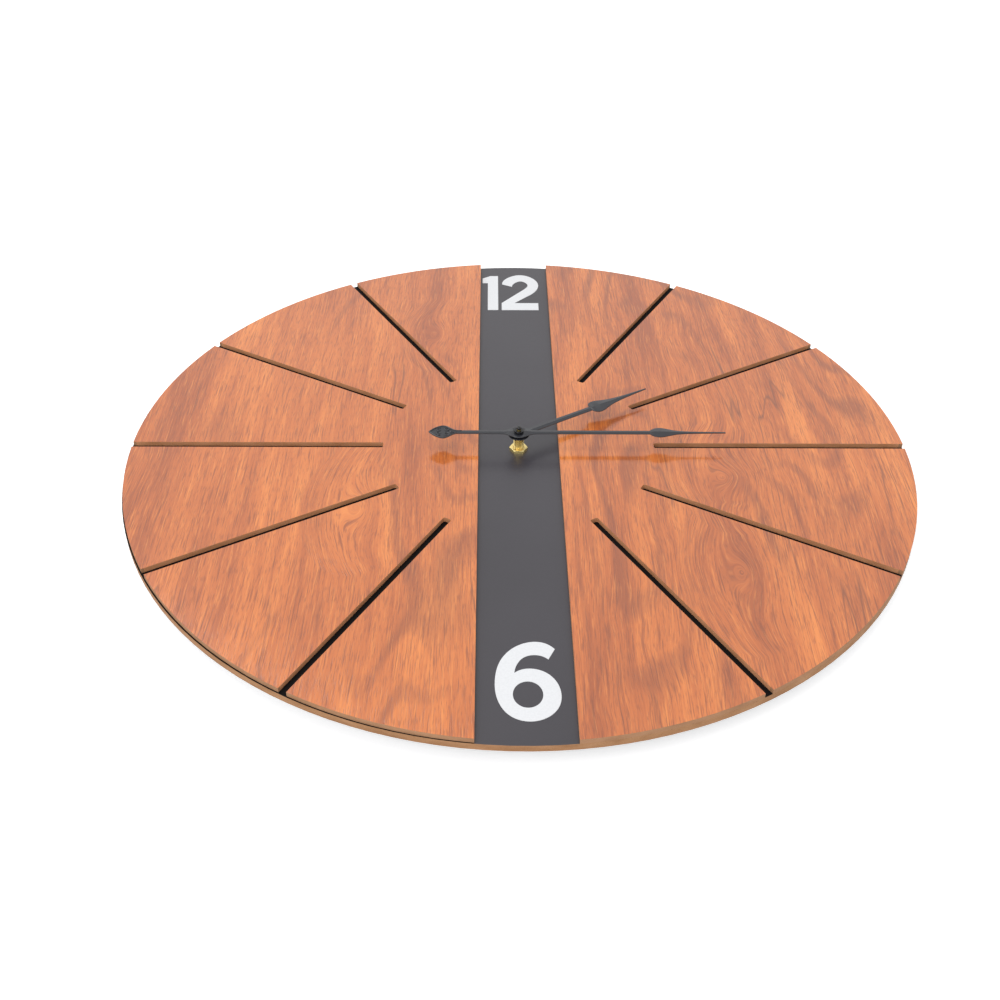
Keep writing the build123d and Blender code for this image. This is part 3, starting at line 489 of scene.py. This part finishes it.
def through(points, steps):
    """A smooth run of (along, half width) pairs through the given ones."""
    made = []
    last = len(points) - 1
    for index in range(last):
        p0 = Vector(points[max(index - 1, 0)])
        p1 = Vector(points[index])
        p2 = Vector(points[index + 1])
        p3 = Vector(points[min(index + 2, last)])
        for step in range(steps):
            t = step / steps
            made.append(0.5 * (2 * p1 + (p2 - p0) * t + (2 * p0 - 5 * p1 + 4 * p2 - p3) * t ** 2
                               + (3 * p1 - p0 - 3 * p2 + p3) * t ** 3))
    made.append(Vector(points[-1]))
    return [(p.x, max(p.y, TIP_HALF_W)) for p in made]


def bridge(mesh, rings):
    """Side faces between neighbouring closed rings of as many corners each."""
    for a, b in zip(rings, rings[1:]):
        for i in range(len(a)):
            j = (i + 1) % len(a)
            mesh.faces.new((a[i], b[i], b[j], a[j]))


def cap_ends(mesh, rings):
    """A face over the first ring and one over the last."""
    mesh.faces.new(rings[0])
    mesh.faces.new(list(reversed(rings[-1])))


def hand_blade(mesh, outline, z, thickness):
    """A pressed blade: square cut edges, both flanks sloping up to a ridge line."""
    rows = []
    for along, half in outline:
        edge = z + thickness
        crest = edge + min(RIDGE_MAX, half * RIDGE_SLOPE)
        rows.append([mesh.verts.new((along, -half, z)),
                     mesh.verts.new((along, -half, edge)),
                     mesh.verts.new((along, 0, crest)),
                     mesh.verts.new((along, half, edge)),
                     mesh.verts.new((along, half, z))])
    bridge(mesh, rows)
    cap_ends(mesh, rows)


def wire(mesh, points, sizes, height):
    """A bead along level points, half sunk in the face, its height given in radii."""
    rings = []
    last = len(points) - 1
    for index, (point, size) in enumerate(zip(points, sizes)):
        ahead = (points[min(index + 1, last)] - points[max(index - 1, 0)]).normalized()
        across = Vector((ahead.y, -ahead.x, 0))
        ring = []
        for k in range(WIRE_SIDES):
            turn = 2 * math.pi * k / WIRE_SIDES
            lift = Vector((0, 0, size * height * math.sin(turn)))
            ring.append(mesh.verts.new(point + across * size * math.cos(turn) + lift))
        rings.append(ring)
    bridge(mesh, rings)
    cap_ends(mesh, rings)


def column(mesh, angle, profile):
    """New vertices at (radius, height) points, all at one angle round Z."""
    return [mesh.verts.new((r * math.cos(angle), r * math.sin(angle), z)) for r, z in profile]


def lathe(mesh, profile):
    """A closed ring swept round Z from (radius, height) points."""
    columns = [column(mesh, 2 * math.pi * index / LATHE_STEPS, profile)
               for index in range(LATHE_STEPS)]
    bridge(mesh, columns + columns[:1])


def finish_mesh(name, mesh, crease=CREASE):
    """An object from the mesh, smooth except where faces meet at more than the crease in degrees."""
    bmesh.ops.recalc_face_normals(mesh, faces=mesh.faces)
    data = bpy.data.meshes.new(name)
    mesh.to_mesh(data)
    mesh.free()
    for face in data.polygons:
        face.use_smooth = True
    data.set_sharp_from_angle(angle=math.radians(crease))
    obj = bpy.data.objects.new(name, data)
    bpy.context.scene.collection.objects.link(obj)
    return obj


def hub_profile(outer, inner, z, thickness):
    """A domed hub with a raised lip round its bore."""
    lip = inner + HUB_LIP_W
    return [(inner, z), (outer - 0.3 * MM, z), (outer, z + 0.2 * thickness),
            (outer, z + 0.6 * thickness), (outer - 0.5 * MM, z + 0.9 * thickness),
            (outer * 0.72, z + thickness), (lip + 0.4 * MM, z + 0.8 * thickness),
            (lip, z + thickness), (inner, z + thickness)]


def stand_in(obj, node, body, look):
    """Show the object in place of a CAD node."""
    paint(obj, look)
    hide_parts(node)
    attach(obj, body)


def make_hand(node, body, outline, hub_r, bore_r, degrees, extra=None):
    """A hand built along +X, then turned to its angle clockwise from 12."""
    low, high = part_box(node)
    thickness = high.z - low.z
    mesh = bmesh.new()
    for part in outline:
        hand_blade(mesh, part, low.z, thickness)
    lathe(mesh, hub_profile(hub_r, bore_r, low.z, thickness))
    if extra:
        extra(mesh, low.z, thickness)
    turn = Matrix.Rotation(math.radians(90 - degrees), 3, "Z")
    bmesh.ops.rotate(mesh, verts=mesh.verts, matrix=turn)
    hand = finish_mesh(node + "_pressed", mesh, HAND_CREASE)
    stand_in(hand, node, body, "black_hand")


def tail_tracery(mesh, z, thickness):
    """The counterweight leaf: a flat plate with a beaded rim and raised scrolls."""
    leaf = through(MINUTE_LEAF, BLADE_STEPS)
    rows = []
    for along, half in leaf:
        corners = ((-half, z), (-half, z + thickness), (half, z + thickness), (half, z))
        rows.append([mesh.verts.new((along, y, height)) for y, height in corners])
    bridge(mesh, rows)
    cap_ends(mesh, rows)
    top = z + thickness
    for side in (-1, 1):
        line = [Vector((along, side * max(half - BEAD_R, 0), top)) for along, half in leaf]
        wire(mesh, line, [BEAD_R] * len(line), 1.0)

    def scroll(cx, cy, reach, start, sweep):
        """A curl that winds in from its reach, from the start through the sweep in degrees."""
        points = []
        sizes = []
        for index in range(SCROLL_STEPS + 1):
            t = index / SCROLL_STEPS
            angle = math.radians(start + sweep * t)
            radius = reach * (1 - SCROLL_CLOSING * t)
            points.append(Vector((cx + radius * math.cos(angle), cy + radius * math.sin(angle), top)))
            sizes.append(BEAD_R * (1 - SCROLL_THINNING * t))
        wire(mesh, points, sizes, SCROLL_HEIGHT)

    for side in (-1, 1):
        scroll(LEAF_CENTRE + 2.2 * MM, side * 3.3 * MM, 2.7 * MM, side * 100, -side * 400)
        scroll(LEAF_CENTRE - 3.6 * MM, side * 2.4 * MM, 2.2 * MM, side * 60, side * 380)
    scroll(LEAF_CENTRE + 6.6 * MM, 0, 1.6 * MM, 180, 300)


def scaled(points):
    """Points given in millimetres, in metres."""
    return [(x * MM, y * MM) for x, y in points]


MINUTE_HUB_R = 7.4 * MM
HOUR_HUB_R = 7.95 * MM
MINUTE_BORE_R = 2.42 * MM
HOUR_BORE_R = 3.22 * MM
HOUR_DEGREES = 58.0
MINUTE_DEGREES = 90.0

# Outlines: (distance from the axis, half width) in mm.
MINUTE_FORE = scaled([(4.5, 6.0), (7.5, 4.4), (10.5, 2.7), (14.5, 2.2)])
MINUTE_BLADE = scaled([(101.0, 2.1), (103.0, 4.1), (106.4, 5.7), (110.6, 5.8), (115.4, 4.3),
                       (123.0, 2.1), (136.0, 1.1), (159.5, 0.5)])
MINUTE_AFT = scaled([(-4.5, 6.0), (-7.5, 4.4), (-10.5, 2.7), (-14.5, 2.2)])
MINUTE_NECK = scaled([(-16.0, 2.2), (-44.0, 2.1), (-47.0, 2.1)])
MINUTE_LEAF = scaled([(-44.0, 2.0), (-49.5, 2.6), (-57.5, 8.1), (-64.5, 5.4), (-69.4, 0.15)])
HOUR_FORE = scaled([(4.5, 6.4), (7.5, 4.6), (11.0, 3.2), (15.0, 2.8)])
HOUR_BLADE = scaled([(68.0, 2.5), (69.4, 5.6), (72.4, 7.4), (76.6, 7.2), (82.4, 5.2), (90.0, 3.2),
                     (102.0, 1.7), (123.0, 0.5)])


make_hand("minute_hand", "minute",
          [through(MINUTE_FORE, HAND_STEPS) + through(MINUTE_BLADE, BLADE_STEPS),
           through(MINUTE_AFT, HAND_STEPS) + through(MINUTE_NECK, HAND_STEPS)],
          MINUTE_HUB_R, MINUTE_BORE_R, MINUTE_DEGREES, tail_tracery)
make_hand("hour_hand", "hour",
          [through(HOUR_FORE, HAND_STEPS) + through(HOUR_BLADE, BLADE_STEPS)],
          HOUR_HUB_R, HOUR_BORE_R, HOUR_DEGREES)

# ---- threaded bushing and nut -----------------------------------------------------------
THREAD_PITCH = 1.0 * MM
THREAD_STEPS = 40
THREAD_CREST_R = 4.0 * MM
THREAD_ROOT_R = 3.55 * MM
BUSH_BORE_R = 2.65 * MM
FLANGE_R = 5.5 * MM
FLANGE_T = 1.0 * MM
BUSH_CHAMFER = 0.4 * MM
THREAD_IN_NUT = 1.5 * MM
THREAD_SUNK = 0.1 * MM
THREAD_FOOT = 0.48              # half width of the ridge, in pitches
THREAD_FLAT = 0.08              # half width of its crest, in pitches
THREAD_RUN_IN = 20              # steps over which the ridge rises and falls at its ends


def make_bushing():
    """The bushing with a real helical thread from inside the nut to its top."""
    low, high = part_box("threaded_bushing")
    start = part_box("hex_nut")[1].z - THREAD_IN_NUT
    top = high.z - BUSH_CHAMFER
    mesh = bmesh.new()
    lathe(mesh, [(BUSH_BORE_R, low.z), (FLANGE_R, low.z), (FLANGE_R, low.z + FLANGE_T),
                 (THREAD_CREST_R, low.z + FLANGE_T), (THREAD_CREST_R, start),
                 (THREAD_ROOT_R, start), (THREAD_ROOT_R, top),
                 (THREAD_ROOT_R - BUSH_CHAMFER, high.z), (BUSH_BORE_R, high.z)])
    foot_r = THREAD_ROOT_R - THREAD_SUNK
    turns = (top - start) / THREAD_PITCH - 1
    count = int(turns * THREAD_STEPS)
    rows = []
    for index in range(count + 1):
        angle = 2 * math.pi * index / THREAD_STEPS
        middle = start + THREAD_PITCH * (0.5 + index / THREAD_STEPS)
        rise = min(1.0, index / THREAD_RUN_IN, (count - index) / THREAD_RUN_IN)
        crest = THREAD_ROOT_R + (THREAD_CREST_R - THREAD_ROOT_R) * rise
        section = ((foot_r, -THREAD_FOOT), (crest, -THREAD_FLAT), (crest, THREAD_FLAT),
                   (foot_r, THREAD_FOOT))
        rows.append(column(mesh, angle, [(r, middle + up * THREAD_PITCH) for r, up in section]))
    bridge(mesh, rows)
    cap_ends(mesh, rows)
    thread = finish_mesh("bushing_thread", mesh)
    stand_in(thread, "threaded_bushing", "clock_body", "brass")


make_bushing()

NUT_TOP_R = 5.85 * MM
NUT_SLOPE = math.tan(math.radians(30))
NUT_STEPS = 72
NUT_LEAD_IN = 0.5 * MM


def make_nut():
    """The hex nut with its corners turned back to a round top face."""
    low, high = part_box("hex_nut")
    width, depth = high.x - low.x, high.y - low.y
    half = min(width, depth) / 2
    turn = 0 if width < depth else math.pi / 2
    sixth = math.pi / 3
    mesh = bmesh.new()
    columns = []
    for index in range(NUT_STEPS):
        angle = 2 * math.pi * index / NUT_STEPS
        off_flat = (angle - turn + sixth / 2) % sixth - sixth / 2
        reach = half / math.cos(off_flat)
        shoulder = high.z - (reach - NUT_TOP_R) * NUT_SLOPE
        profile = [(THREAD_CREST_R, low.z), (reach, low.z), (reach, shoulder), (NUT_TOP_R, high.z),
                   (THREAD_CREST_R + NUT_LEAD_IN, high.z), (THREAD_CREST_R, high.z - NUT_LEAD_IN)]
        columns.append(column(mesh, angle, profile))
    bridge(mesh, columns + columns[:1])
    nut = finish_mesh("nut_chamfered", mesh)
    stand_in(nut, "hex_nut", "clock_body", "brass_nut")


make_nut()

for edge_node, edge_width in EDGE_ROUNDING.items():
    soften(edge_node, edge_width)


# ---- camera ------------------------------------------------------------------------------
CAMERA_LENS = 45.2
CAMERA_SENSOR = 36.0
CAMERA_AZIMUTH = math.radians(-0.63)
CAMERA_ELEVATION = math.radians(38.015)
CAMERA_ROLL = math.radians(0.525)
CAMERA_DISTANCE = 3.115 * DIAL_R
TARGET = Vector((-0.0489 * DIAL_R, -0.1935 * DIAL_R, BOARD_LOW.z))

back = Vector((math.sin(CAMERA_AZIMUTH) * math.cos(CAMERA_ELEVATION),
               -math.cos(CAMERA_AZIMUTH) * math.cos(CAMERA_ELEVATION),
               math.sin(CAMERA_ELEVATION)))
camera_data = bpy.data.cameras.new("camera")
camera_data.lens = CAMERA_LENS
camera_data.sensor_width = CAMERA_SENSOR
camera_data.clip_start = 0.01
camera_data.clip_end = 100
camera = bpy.data.objects.new("camera", camera_data)
bpy.context.scene.collection.objects.link(camera)
side = Vector((0, 0, 1)).cross(back).normalized()
upward = back.cross(side)
roll_x = side * math.cos(CAMERA_ROLL) + upward * math.sin(CAMERA_ROLL)
roll_y = -side * math.sin(CAMERA_ROLL) + upward * math.cos(CAMERA_ROLL)
turn = Matrix((roll_x, roll_y, back)).transposed()
camera.matrix_world = Matrix.Translation(TARGET + back * CAMERA_DISTANCE) @ turn.to_4x4()
bpy.context.scene.camera = camera


# ---- floor, world and lights ------------------------------------------------------------------
FLOOR_HALF = 12.0               # metres
FLOOR_GLOW = 0.5
WORLD_STRENGTH = 0.9


def make_floor():
    """A plain white floor that glows a little, so that it stays white under soft light."""
    mesh = bmesh.new()
    mesh.faces.new([mesh.verts.new((x * FLOOR_HALF, y * FLOOR_HALF, 0))
                    for x, y in ((-1, -1), (1, -1), (1, 1), (-1, 1))])
    floor = finish_mesh("floor", mesh)
    m = Material("floor_white", roughness=0.9)
    cloud = m.noise(m.place(), 3, 2)
    m.set("Base Color", m.ramp(cloud, [(0.0, (0.86, 0.86, 0.86)), (1.0, (0.88, 0.88, 0.88))]))
    m.set("Emission Color", (1, 1, 1))
    m.set("Emission Strength", FLOOR_GLOW)
    floor.data.materials.append(m.material)


def area_light(name, place, size, power):
    """A soft box aimed at the dial: place and size in metres, power in watts."""
    data = bpy.data.lights.new(name, "AREA")
    data.shape = "RECTANGLE"
    data.size, data.size_y = size
    data.energy = power
    light = bpy.data.objects.new(name, data)
    bpy.context.scene.collection.objects.link(light)
    light.location = place
    light.rotation_mode = "QUATERNION"
    light.rotation_quaternion = (-Vector(place)).to_track_quat("-Z", "Y")


make_floor()
world = bpy.data.worlds.new("studio")
bpy.context.scene.world = world
world.use_nodes = True
background = world.node_tree.nodes["Background"]
background.inputs["Color"].default_value = (1, 1, 1, 1)
background.inputs["Strength"].default_value = WORLD_STRENGTH
# The front light stands left of the camera: in the photo, the cut edges that face left are brighter.
area_light("key", (-1.1, 0.9, 2.2), (1.6, 1.2), 14)
area_light("front", (-0.8, -1.74, 1.5), (1.8, 1.2), 20)
bpy.context.scene.view_settings.view_transform = "Standard"
